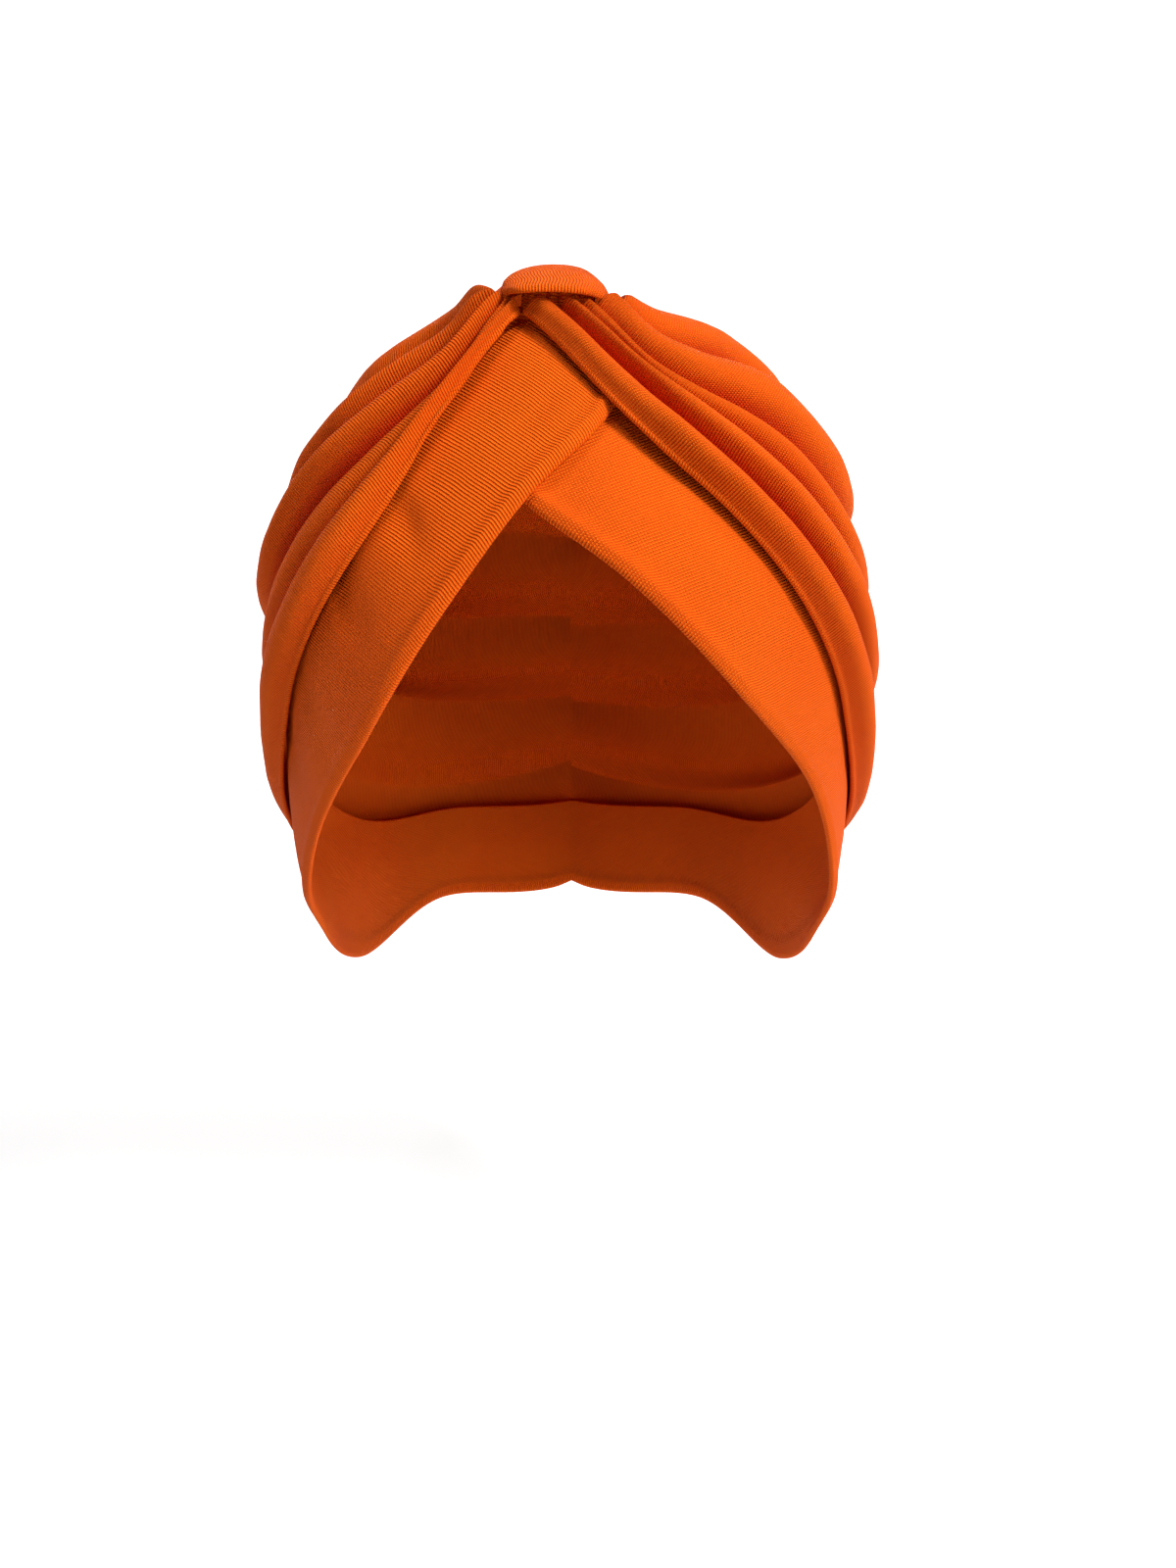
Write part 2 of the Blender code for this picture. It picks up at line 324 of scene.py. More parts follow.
STATIONS = (0.0, 0.16, 0.40, 0.64, 0.82, 1.0)
RIGHT_LIFT = (7.0, 5.0, 4.8, 4.7, 4.5)
LEFT_LIFT = (7.6, 4.6, 4.7, 4.7, 4.5)
ROLL_SHARE = (0.74, 1.0, 0.88, 0.5, 0.0)
RISE_SHARE = (1.0, 1.0, 1.0, 1.0, 0.6, 0.0)

CREASE_COLUMNS = ("pinch", "near_az", "near_el", "mid_az", "mid_el", "side_az", "side_el",
                  "rear_az", "rear_el", "back_el", "rise", "roll", "flat", "lean", "tied",
                  "shoulder")
RIGHT_CREASES = (
    (-30, 12, 51, 34, 30, 73, -22, 118, -48.5, -47, 0.8, 7.6, 2.0, 0.14, 0.40, 0.0),
    (2, 18, 58, 39, 37, 79, -11, 126, -38, -39, -2.4, 8.0, 2.0, 0.24, 0.40, 0.0),
    (18, 25, 57.5, 49, 42, 84, 5, 134, -23, -27, -1.4, 6.0, 2.0, 0.20, 0.40, 0.0),
    (34, 28, 60, 58, 47, 91, 20, 140, -6, -12, -2.4, 9.4, 2.6, 0.20, 0.35, 0.0),
    (70, 41, 65, 78, 58, 103, 40, 148, 18, 8, -2.4, 8.8, 2.2, 0.24, 0.16, 0.0),
    (118, 72, 77, 120, 66, 142, 50, 161, 36, 27, -2.4, 5.0, 2.0, 0.10, 0.16, 0.0),
    (175.6, 180, 88, 180, 74, 180, 62, 180, 52, 44, -1.6, 0.0, 2.0, 0.0, 0.40, 0.0),
)
LEFT_CREASES = (
    (-36, -28, 50, -40, 24, -73, -22, -118, -48.5, -47, 0.5, 5.6, 2.2, 0.10, 0.40, 0.0),
    (-44, -28.5, 51.8, -48.5, 27.5, -77, -8, -126, -37, -38, -0.4, 4.4, 2.0, 0.10, 0.40, 0.0),
    (-54, -33, 56, -58, 34, -85, 4, -134, -22, -26, -2.4, 8.8, 2.0, 0.26, 0.40, 0.0),
    (-66, -43, 62, -68, 41, -94, 17, -140, -6, -10, -2.4, 7.8, 2.0, 0.24, 0.45, 1.2),
    (-82, -56, 67, -80, 50, -104, 33, -148, 12, 6, -2.4, 7.6, 2.0, 0.22, 0.40, 3.0),
    (-122, -78, 75, -120, 65, -140, 49, -160, 36, 27, -1.8, 5.0, 2.0, 0.10, 0.40, 3.0),
    (-184.4, 180, 88, 180, 74, 180, 62, 180, 52, 44, -1.6, 0.0, 2.0, 0.0, 0.40, 1.0),
)


def pinch_point(angle):
    """A point of the pinch ellipse, from the middle."""
    a = math.radians(angle)
    y = -KNOT_HALF_DEPTH * math.cos(a)
    return np.array((KNOT_X + KNOT_HALF_WIDTH * math.sin(a), KNOT_Y + y,
                     KNOT_Z + KNOT_SLOPE * y)) - MIDDLE


def crease_path(row, shares):
    """Unit directions along one crease, from the pinch to the back."""
    c = dict(zip(CREASE_COLUMNS, row))
    rear = 180 if c["rear_az"] >= 0 else -180
    marks = [unit(pinch_point(c["pinch"])),
             direction(c["near_az"], c["near_el"]), direction(c["mid_az"], c["mid_el"]),
             direction(c["side_az"], c["side_el"]), direction(c["rear_az"], c["rear_el"]),
             direction(rear, c["back_el"])]
    return unit(smooth(shares, STATIONS, np.array(marks)))


def crease_lift(row, lift, shares):
    """How far a crease is off the head along it."""
    c = dict(zip(CREASE_COLUMNS, row))
    start = pinch_point(c["pinch"])
    pinch = np.linalg.norm(start) - form_radius(unit(start))
    rest = [v + c["rise"] * share for v, share in zip(lift, RISE_SHARE[1:])]
    return smooth(shares, STATIONS, [pinch] + rest)


print(len(LEFT_CREASES) - 1, "rolls on the left,", len(RIGHT_CREASES) - 1, "on the right")

# %% [markdown]
# A roll's height swells a little along it, and near the knot the cloth puckers between the
# rolls. Wrinkles are free on top of a roll and fade at the pinch and at the seam. "deep"
# marks the foot of a tall roll, where painted shade turns the colour dark red further down.

# %% Rolls between the creases
ALONG_PANEL = 230
ALONG_ROLL = 22
CURVE_OF_ROLL = 1.4
SWELL, SWELLS_ALONG = 0.10, 7
SHOULDER_AT, SHOULDER_REACH = 0.05, 0.07
SEAM_DIP, SEAM_WIDTH = 1.0, 0.008
PUCKER_HEIGHT, PUCKER_FROM, PUCKER_REACH = 0.55, 0.03, 0.13
PUCKERS_ALONG, PUCKERS_EACH_ROLL = 9, 6.5
FREE_AFTER_PINCH, FREE_BEFORE_SEAM, FREE_ON_ARCH = 0.2, 0.1, 1.2
# The next values shape the painted fold shade low on the flanks of tall rolls.
FOLD_SHADE_BELOW, FOLD_SHADE_FROM, FOLD_SHADE_LEAST, FOLD_SHADE_POWER = 0.62, 5.0, 0.4, 0.7
FIRST_ROLL_SHADE_LEAST = 0.2


def one_roll(k, rows, paths, low, shares, s, seed):
    """Directions, heights, freedom and painted fold shade of the roll from crease k to the
    next.
    """
    c, after = (dict(zip(CREASE_COLUMNS, row)) for row in rows[k:k + 2])
    near = np.clip(1 - shares / STATIONS[1], 0, 1)[:, None] ** 2
    hump = np.exp(-((shares - SHOULDER_AT) / SHOULDER_REACH) ** 2)[:, None]
    free = (np.clip(shares / FREE_AFTER_PINCH, 0, 1)[:, None]
            * np.clip((1 - shares) / FREE_BEFORE_SEAM, 0, 1)[:, None])
    share = smooth(shares, STATIONS, (c["tied"],) + ROLL_SHARE)[:, None]
    arch = (1 - np.abs(2 * s - 1) ** c["flat"]) ** CURVE_OF_ROLL
    w = (s - c["lean"] * arch * share)[:, :, None]
    start = np.array([pinch_point(c["pinch"] * (1 - v) + after["pinch"] * v) for v in s])
    pinch = np.linalg.norm(start, axis=-1) - form_radius(unit(start))
    aim = unit(paths[k][:, None] * (1 - w) + paths[k + 1][:, None] * w)
    foot = low[k] * (1 - s) + low[k + 1] * s
    foot = foot + hump * (c["shoulder"] * (1 - s) + after["shoulder"] * s)
    swell = 1 + SWELL * even_noise(shares[:, None] * SWELLS_ALONG + 3 * k, s * 0 + k, seed)
    # Painted fold shade: strongest at the foot of tall rolls, where it darkens and reddens the
    # colour.
    tall_roll_shade = np.clip(share * c["roll"] / FOLD_SHADE_FROM - FOLD_SHADE_LEAST, 0, 1)
    deep = np.clip(1 - arch / FOLD_SHADE_BELOW, 0, 1) ** FOLD_SHADE_POWER * tall_roll_shade
    if k == 0:
        deep = deep * np.clip(s * 2, FIRST_ROLL_SHADE_LEAST, 1)
    return (unit(aim + near[..., None] * (unit(start) - aim[0])),
            foot + near * (pinch - foot[0]) + share * c["roll"] * arch * swell,
            np.clip(arch * FREE_ON_ARCH, 0, 1) * free, deep)


def crown_panel(name, rows, lift, side, seed):
    """One side of the crown: its rolls side by side, as one wall."""
    t = np.linspace(0, 1, ALONG_PANEL + 1)
    shares = t - 0.5 * np.sin(2 * np.pi * t) / (2 * np.pi)
    s = 0.5 - 0.5 * np.cos(np.pi * np.linspace(0, 1, ALONG_ROLL + 1))
    paths = np.array([crease_path(row, shares) for row in rows])
    low = [crease_lift(row, lift, shares)[:, None] for row in rows]
    last = len(rows) - 2
    rolls = [one_roll(k, rows, paths, low, shares, s if k == last else s[:-1], seed)
             for k in range(last + 1)]
    aims, lifts, loose, deep = (np.concatenate(part, axis=1) for part in zip(*rolls))
    columns = np.arange(lifts.shape[1])[None, :] / ALONG_ROLL
    pucker = soft_noise(shares[:, None] * PUCKERS_ALONG, columns * PUCKERS_EACH_ROLL, seed + 5)
    fade = (np.exp(-shares / PUCKER_REACH)[:, None]
            * np.clip(shares / PUCKER_FROM, 0, 1)[:, None])
    lifts += PUCKER_HEIGHT * pucker * fade
    lifts -= SEAM_DIP * np.exp(-((1 - shares) / SEAM_WIDTH) ** 2)[:, None]
    shift = np.array((side * SEAM_GAP / 2, 0, 0))
    return cloth_wall(name, on_form(aims, lifts) + shift,
                      on_form(aims, lifts - PANEL_WALL) + shift, loose, deep)


crown_left = crown_panel("crown_left_cloth", LEFT_CREASES, LEFT_LIFT, -1, 11)
crown_right = crown_panel("crown_right_cloth", RIGHT_CREASES, RIGHT_LIFT, 1, 23)

# %% [markdown]
# ## The crossed bands
# Each band is jersey doubled over and sewn, so it stays smooth and has a fat round hem.
# A row of the table is a section across the band: where its hem is, where its upper edge
# goes in under the crown, and how far each is off the head. The viewer's left band lies
# over the right one.
#
# A smooth band still has soft dents where it is pulled, so a second table gives the place,
# size and depth of each.

# %% Bands
BAND_COLUMNS = ("hem_az", "hem_el", "top_az", "top_el", "hem_lift", "top_lift")
BAND_LEFT = (
    (17, 55.5, -11, 68.8, 3.4, 8.2),
    (7, 47, -21.5, 66, 2.8, 6.6),
    (-6, 36, -30, 54.5, 2.3, 3.0),
    (-19, 18, -40, 37, 1.2, 1.2),
    (-33, -3, -53, 19, 0.5, 0.6),
    (-52, -25, -68, -5, 0.4, 0.6),
    (-75, -46, -92, -27, 0.8, 0.4),
    (-105, -57.5, -120, -43, 0.4, 0.4),
    (-143, -55.5, -150, -45, 0.4, 0.4),
    (-180, -55.2, -180, -45, 0.4, 0.4),
)
BAND_RIGHT = (
    (-20, 57, 0, 64, 0.6, 3.4),
    (-14, 46, 9, 60, 0.3, 1.6),
    (-7, 35.5, 20, 53, 0.3, 0.8),
    (12, 22, 33, 40, 0.4, 0.4),
    (31, 2, 48, 22, 0.5, 0.5),
    (53, -20, 65, -5, 1.4, 1.0),
    (75, -45, 92, -27, 2.4, 0.6),
    (105, -57.5, 120, -43, 1.0, 0.4),
    (143, -55.5, 150, -45, 0.4, 0.4),
    (180, -55.2, 180, -45, 0.4, 0.4),
)
DENT_COLUMNS = ("along", "across", "half_length", "half_width", "depth")
DENTS_LEFT = (
    (0.330, 0.58, 0.016, 0.24, 1.4),
    (0.413, 0.62, 0.016, 0.26, 1.3),
    (0.150, 0.35, 0.050, 0.08, 0.6),
    (0.500, 0.48, 0.016, 0.40, 0.7),
    (0.570, 0.50, 0.016, 0.42, 0.6),
)
DENTS_RIGHT = (
    (0.240, 0.25, 0.020, 0.16, 0.7),
    (0.300, 0.58, 0.022, 0.20, 0.6),
    (0.460, 0.40, 0.018, 0.35, 0.5),
)
ALONG_BAND = 300
ACROSS_BAND = 56
HEM_RISE, HEM_WIDTH = 0.9, 0.05
BAND_WANDER, WANDERS_ALONG, WANDERS_ACROSS = 0.22, 9, 2.2
BAND_END = 0.05
BAND_SEAM_SHARE = 0.6


def band(name, rows, dents, side, seed):
    """A doubled band from its end under the knot to the seam at the nape."""
    knots = np.linspace(0, 1, len(rows))
    columns = dict(zip(BAND_COLUMNS, np.array(rows, float).T))
    along = np.linspace(0, 1, ALONG_BAND + 1)
    t = np.linspace(0, 1, ACROSS_BAND + 1)
    across = 0.5 - 0.5 * np.cos(np.pi * t)
    hem = unit(smooth(along, knots, direction(columns["hem_az"], columns["hem_el"])))
    top = unit(smooth(along, knots, direction(columns["top_az"], columns["top_el"])))
    hem_lift = smooth(along, knots, columns["hem_lift"])[:, None]
    top_lift = smooth(along, knots, columns["top_lift"])[:, None]
    inner = hem_lift * (1 - across) + top_lift * across
    w = across[None, :, None]
    aims = unit(hem[:, None] * (1 - w) + top[:, None] * w)
    a, v = along[:, None], across[None, :]
    outer = inner + BAND_WALL
    outer = outer + HEM_RISE * np.exp(-((v - HEM_WIDTH) / HEM_WIDTH) ** 2)
    quiet = np.sin(np.pi * v) ** 0.5 * np.clip((1 - a) / BAND_END, 0, 1)
    for row in dents:
        d = dict(zip(DENT_COLUMNS, row))
        far = (((a - d["along"]) / d["half_length"]) ** 2
               + ((v - d["across"]) / d["half_width"]) ** 2)
        outer = outer - d["depth"] * np.exp(-far)
    wander = even_noise(a * WANDERS_ALONG, v * WANDERS_ACROSS, seed)
    outer = outer + BAND_WANDER * wander * quiet
    outer = outer - SEAM_DIP * BAND_SEAM_SHARE * np.exp(-((1 - a) / SEAM_WIDTH) ** 2)
    shift = np.array((side * SEAM_GAP / 2, 0, 0))
    return cloth_wall(name, on_form(aims, outer) + shift, on_form(aims, inner) + shift,
                      quiet * np.clip(a / BAND_END, 0, 1))


band_left = band("band_left_cloth", BAND_LEFT, DENTS_LEFT, -1, 31)
band_right = band("band_right_cloth", BAND_RIGHT, DENTS_RIGHT, 1, 37)

# %% [markdown]
# ## The strap over the knot
# The strap is a doubled strip of the same jersey. It comes up out of the pinch on one side,
# arches over the bunch and goes down on the other, and its edges are folded under. A row of
# the table is a section: how far along X, how high, and where the front and rear edges are.

# %% Strap
LOOP_SECTIONS = np.array((
    # x, height, front y, rear y
    (-14.0, 6.3, -24.8, -22.3),
    (-15.0, 8.4, -25.8, -21.6),
    (-14.2, 11.3, -27.6, -19.6),
    (-10.2, 13.1, -31.8, -15.4),
    (-3.0, 13.7, -33.0, -13.4),
    (4.6, 13.1, -32.6, -15.0),
    (9.3, 10.8, -28.8, -19.8),
    (11.4, 7.4, -26.2, -20.8),
    (11.6, 6.2, -25.4, -21.6),
))
LOOP_WALL = 1.6
ALONG_LOOP = 150
ACROSS_LOOP = 64
LOOP_CROWN = 1.0
STRAP_PLEATS, PLEAT_DEPTH = 3.0, 0.35
PLEATS_FROM, PLEATS_REACH = 0.22, 0.2
STRAP_SLANT = 0.5
STRAP_FREEDOM = 0.4


def knot_loop(name):
    """The strap, pleated where it goes down into the pinch at both ends."""
    at = np.linspace(0, 1, ALONG_LOOP + 1)
    knots = np.linspace(0, 1, len(LOOP_SECTIONS))
    x, height, front, rear = (smooth(at, knots, LOOP_SECTIONS[:, k]) for k in range(4))
    dx, dz = np.gradient(x), np.gradient(height)
    size = np.hypot(dx, dz)
    nx, nz = -dz / size, dx / size
    foot = np.clip((np.abs(at - 0.5) - PLEATS_FROM) / PLEATS_REACH, 0, 1)
    outer, inner = [], []
    for v in 0.5 - 0.5 * np.cos(np.pi * np.linspace(0, 1, ACROSS_LOOP + 1)):
        y = front + (rear - front) * v
        dip = LOOP_CROWN * (2 * v - 1) ** 2
        pleat = PLEAT_DEPTH * foot * (np.cos(2 * np.pi * STRAP_PLEATS * v) - 1)
        z = height - dip + KNOT_SLOPE * (y - KNOT_Y)
        outer.append(np.stack([x + nx * pleat, y, z + nz * pleat], axis=-1))
        inner.append(np.stack([x - nx * LOOP_WALL, y, z - nz * LOOP_WALL], axis=-1))
    outer = np.array(outer).transpose(1, 0, 2)
    inner = np.array(inner).transpose(1, 0, 2)
    loose = np.full(outer.shape[:2], STRAP_FREEDOM)
    return cloth_wall(name, outer, inner, loose, slant=STRAP_SLANT)


strap = knot_loop("knot_loop_cloth")

# %% [markdown]
# ## The gathered bunch
# Under the strap the ends of all the folds are drawn together. They could each be modelled,
# but only a dark fluted bunch shows, so a smooth stack of ellipses is made first and the
# gathers are then repeated round it with Geometry Nodes, further down. Its foot spreads
# under the ends of the folds, so that no light comes through beside the strap.

# %% Bunch
BUNCH_SECTIONS = np.array((
    # height, half width, depth at the front, depth at the rear
    (0.2, 17.0, 3.8, 6.4),
    (1.2, 17.0, 3.8, 6.4),
    (3.0, 14.8, 3.2, 5.8),
    (4.2, 14.8, 3.2, 5.8),
    (4.9, 9.0, 4.6, 5.8),
    (8.6, 8.8, 5.2, 5.4),
    (10.4, 7.4, 4.4, 4.6),
    (11.2, 3.6, 2.2, 2.4),
))
BUNCH_TURNS = 288
BUNCH_LEVELS = 42
KNIT_RADIUS = 9
BUNCH_FADE = 0.4


def gathered_bunch(name):
    """Rings of points from the foot of the bunch to its top, closed at both ends."""
    turn = np.arange(BUNCH_TURNS) / BUNCH_TURNS * 2 * np.pi
    knots = np.linspace(0, 1, len(BUNCH_SECTIONS))
    at = np.linspace(0, 1, BUNCH_LEVELS + 1)
    level = np.array([np.interp(at, knots, BUNCH_SECTIONS[:, k]) for k in range(4)]).T
    points = []
    for height, half_width, front, rear in level:
        depth = np.where(np.cos(turn) > 0, front, rear)
        x = KNOT_X + half_width * np.sin(turn)
        y = KNOT_Y - depth * np.cos(turn)
        points.append(np.stack([x, y, height + KNOT_SLOPE * (y - KNOT_Y)], axis=-1))
    n, rings = BUNCH_TURNS, len(points)
    points = np.concatenate(points + [[points[0].mean(0)], [points[-1].mean(0)]])
    faces = []
    for i in range(n):
        j = (i + 1) % n
        faces.append((rings * n, j, i))
        faces.append((rings * n + 1, (rings - 1) * n + i, (rings - 1) * n + j))
        for r in range(rings - 1):
            faces.append((r * n + i, r * n + j, (r + 1) * n + j, (r + 1) * n + i))
    around = np.concatenate([np.tile(turn, rings), [0, 0]])
    rise = np.concatenate([np.repeat(level[:, 0], n), [level[0, 0], level[-1, 0]]])
    loose = np.concatenate([np.repeat(np.sin(np.pi * at) ** BUNCH_FADE, n), [0, 0]])
    facts = {"turn": around, "along": rise * MM, "across": around * KNIT_RADIUS * MM,
             "freedom": loose}
    return cloth_object(name, points, faces, facts)


bunch = gathered_bunch("gathered_bunch_cloth")

# %% [markdown]
# ## Small helpers for node trees
# Shader trees and Geometry Nodes trees are built the same way, so two helpers add a node,
# set its options, and fill or link its inputs: one takes them in order and gives back the
# node's outputs, and the other takes them by name.

# %% Node helpers


def fill(tree, slot, value):
    """Gives an input a value, or links another node's output to it."""
    if isinstance(value, bpy.types.NodeSocket):
        tree.links.new(value, slot)
    elif value is not None:
        slot.default_value = value


def new_node(tree, kind, options):
    node = tree.nodes.new(kind)
    for key, value in options.items():
        setattr(node, key, value)
    return node


def put(tree, kind, *given, **options):
    """Adds a node with its inputs in order, None to skip one, and returns its outputs."""
    node = new_node(tree, kind, options)
    for slot, value in zip([s for s in node.inputs if s.enabled], given):
        fill(tree, slot, value)
    return [s for s in node.outputs if s.enabled]


def put_named(tree, kind, inputs, **options):
    """Adds a node with its inputs by name or number, and returns the node."""
    node = new_node(tree, kind, options)
    for key, value in inputs.items():
        fill(tree, node.inputs[key], value)
    return node


def maths(tree, operation, *given):
    return put(tree, "ShaderNodeMath", *given, operation=operation)[0]


def socket(tree, name, kind, value=None, output=False):
    """Adds an input or output to a node group and returns its identifier."""
    made = tree.interface.new_socket(name, in_out="OUTPUT" if output else "INPUT",
                                     socket_type="NodeSocket" + kind)
    if value is not None:
        made.default_value = value
    return made.identifier


print("helpers ready")

# %% [markdown]
# ## The knit
# Jersey is a knit: rows of small loops lie side by side, and from a little way off they
# show as fine ribs across each fold, broken up into grains. An image could give that, but
# it would stretch and repeat. A shader group makes it from the UV map, which is in metres,
# so the ribs have their real spacing everywhere. Both cloths use the group with their own
# values, and it puts out the height of the knit, for the Bump node, and a mask of its
# grooves, where the material paints shade into the colour.

# %% Shader group for the knit
DRIFT_SCALE = 90.0
FUZZ_SCALE, FUZZ_SHARE = 2600.0, 0.35
RIB_SHARE, GRAIN_SHARE = 0.6, 0.4


def knit_group():
    tree = bpy.data.node_groups.new("jersey knit", "ShaderNodeTree")
    socket(tree, "Cloth", "Vector")
    socket(tree, "Rib spacing", "Float", 0.00075)
    socket(tree, "Stitch spacing", "Float", 0.0006)
    socket(tree, "Wander", "Float", 0.0005)
    socket(tree, "Height", "Float", output=True)
    socket(tree, "Crest", "Float", output=True)
    cloth, rib, stitch, wander = put(tree, "NodeGroupInput")[:4]
    drift = put(tree, "ShaderNodeTexNoise", cloth, DRIFT_SCALE, 2.0)[0]
    drift = maths(tree, "MULTIPLY", maths(tree, "SUBTRACT", drift, 0.5), wander)
    along, across, _ = put(tree, "ShaderNodeSeparateXYZ", cloth)
    along = maths(tree, "DIVIDE", maths(tree, "ADD", along, drift), rib)
    across = maths(tree, "DIVIDE", across, stitch)
    odd = maths(tree, "MODULO", maths(tree, "FLOOR", along), 2.0)
    across = maths(tree, "ADD", across, maths(tree, "MULTIPLY", odd, 0.5))
    wave = maths(tree, "COSINE", maths(tree, "MULTIPLY", along, 2 * math.pi))
    ridge = maths(tree, "MULTIPLY_ADD", wave, -0.5, 0.5)
    wave = maths(tree, "COSINE", maths(tree, "MULTIPLY", across, 2 * math.pi))
    grain = maths(tree, "MULTIPLY_ADD", wave, 0.5, 0.5)
    grain = maths(tree, "MULTIPLY_ADD", grain, GRAIN_SHARE, RIB_SHARE)
    crest = maths(tree, "MULTIPLY", ridge, grain)
    fuzz = put(tree, "ShaderNodeTexNoise", cloth, FUZZ_SCALE, 2.0)[0]
    height = maths(tree, "MULTIPLY_ADD", fuzz, FUZZ_SHARE, crest)
    put(tree, "NodeGroupOutput", height, crest)
    return tree


knit = knit_group()
print("group", knit.name, "with", len(knit.nodes), "nodes")

# %% [markdown]
# ## Uneven dye
# Dyed jersey is never one flat colour: it is a touch lighter where it is stretched and has
# a faint cloudiness. A second group gives the cloudiness as a mask, from Object coordinates.

# %% Shader group for the dye


def dye_group():
    tree = bpy.data.node_groups.new("uneven dye", "ShaderNodeTree")
    socket(tree, "Place", "Vector")
    socket(tree, "Cloud scale", "Float", 28.0)
    socket(tree, "Mask", "Float", output=True)
    place, scale = put(tree, "NodeGroupInput")[:2]
    cloud = put(tree, "ShaderNodeTexNoise", place, scale, 3.0)[0]
    mask = put(tree, "ShaderNodeMapRange", cloud, 0.3, 0.7, 0.0, 1.0)[0]
    put(tree, "NodeGroupOutput", mask)
    return tree


dye = dye_group()
print("group", dye.name, "with", len(dye.nodes), "nodes")

# %% [markdown]
# ## Two cloths
# The crown, strap and bunch are jersey in folds; the bands are the same jersey doubled and
# stretched smooth, so their ribs stand a little further apart. The orange is strong: nearly
# all red comes back, little green and hardly any blue. Light that bounces between two folds
# therefore turns deep red. A path tracer finds only some of those bounces between the real
# stitches, so the attribute "deep", which is 1 at the foot of a tall roll, mixes in painted
# shade there: a darker, redder colour for the shade and bounced light deep in the fold.
# Loose fibres on the knit give a weak sheen.

# %% Cloth materials
CREST_ORANGE = (0.94, 0.178, 0.004, 1)
# Painted shade in the knit grooves: a darker, redder orange.
GROOVE_SHADE_ORANGE = (0.66, 0.045, 0.001, 1)
CLOUD_ORANGE = (0.88, 0.140, 0.003, 1)
# Painted fold shade: the darker, redder colour mixed in at the foot of tall rolls.
PAINTED_FOLD_SHADE_RED = (0.58, 0.003, 0.001, 1)
GROOVE_SHADE_STRENGTH = 0.85
PAINTED_FOLD_SHADE_STRENGTH = 0.92
KNIT_DEPTH = 0.00046
SURFACE = {"Roughness": 0.78, "Specular IOR Level": 0.07, "Sheen Weight": 0.03,
           "Sheen Roughness": 0.45, "Sheen Tint": (1.0, 0.35, 0.06, 1)}
MIX_A, MIX_B, MIX_RESULT = 6, 7, 2


def mixed(tree, factor, first, second):
    """A colour between two colours."""
    node = put_named(tree, "ShaderNodeMix", {"Factor": factor, MIX_A: first, MIX_B: second},
                     data_type="RGBA")
    return node.outputs[MIX_RESULT]


def cloth_material(name, rib, stitch):
    """The orange jersey with its ribs and stitches this far apart, in metres."""
    material = bpy.data.materials.new(name)
    material.use_nodes = True
    tree = material.node_tree
    tree.nodes.clear()
    uv = put(tree, "ShaderNodeUVMap", uv_map="cloth")[0]
    place = put(tree, "ShaderNodeTexCoord")[3]
    loops = put_named(tree, "ShaderNodeGroup", {"Cloth": uv, "Rib spacing": rib,
                                                "Stitch spacing": stitch}, node_tree=knit)
    clouds = put_named(tree, "ShaderNodeGroup", {"Place": place}, node_tree=dye)
    orange = mixed(tree, clouds.outputs["Mask"], CREST_ORANGE, CLOUD_ORANGE)
    # Painted shade: the grooves of the knit are coloured darker.
    groove_shade = maths(tree, "SUBTRACT", 1.0, loops.outputs["Crest"])
    orange = mixed(tree, maths(tree, "MULTIPLY", groove_shade, GROOVE_SHADE_STRENGTH), orange,
                   GROOVE_SHADE_ORANGE)
    # Painted shade: the attribute "deep" mixes the painted fold shade colour into the orange.
    deep = put(tree, "ShaderNodeAttribute", attribute_name="deep")[2]
    orange = mixed(tree, maths(tree, "MULTIPLY", deep, PAINTED_FOLD_SHADE_STRENGTH), orange, PAINTED_FOLD_SHADE_RED)
    bump = put_named(tree, "ShaderNodeBump", {"Strength": 1.0, "Distance": KNIT_DEPTH,
                                              "Height": loops.outputs["Height"]})
    cloth = put_named(tree, "ShaderNodeBsdfPrincipled",
                      {"Base Color": orange, "Normal": bump.outputs["Normal"], **SURFACE})
    put(tree, "ShaderNodeOutputMaterial", cloth.outputs[0])
    return material


jersey = cloth_material("jersey", 0.00077, 0.00062)
band_jersey = cloth_material("band jersey", 0.00082, 0.00066)
print("materials:", jersey.name, "and", band_jersey.name)

# %% [markdown]
# ## Wrinkles and gathers
# Between the main folds, stretched jersey has long shallow wrinkles that run with the pull.
# They follow the surface by one rule on every piece, so a Geometry Nodes tree makes them:
# it reads how far each point is along and across the cloth, looks up stretched noise there,
# and moves the point along its normal. The same tree presses the gathers into the bunch.
# Displacing in Python would also work, but here the sizes stay as named inputs.

# %% Geometry Nodes tree for wrinkles


def named(tree, name):
    return put(tree, "GeometryNodeInputNamedAttribute", name, data_type="FLOAT")[0]


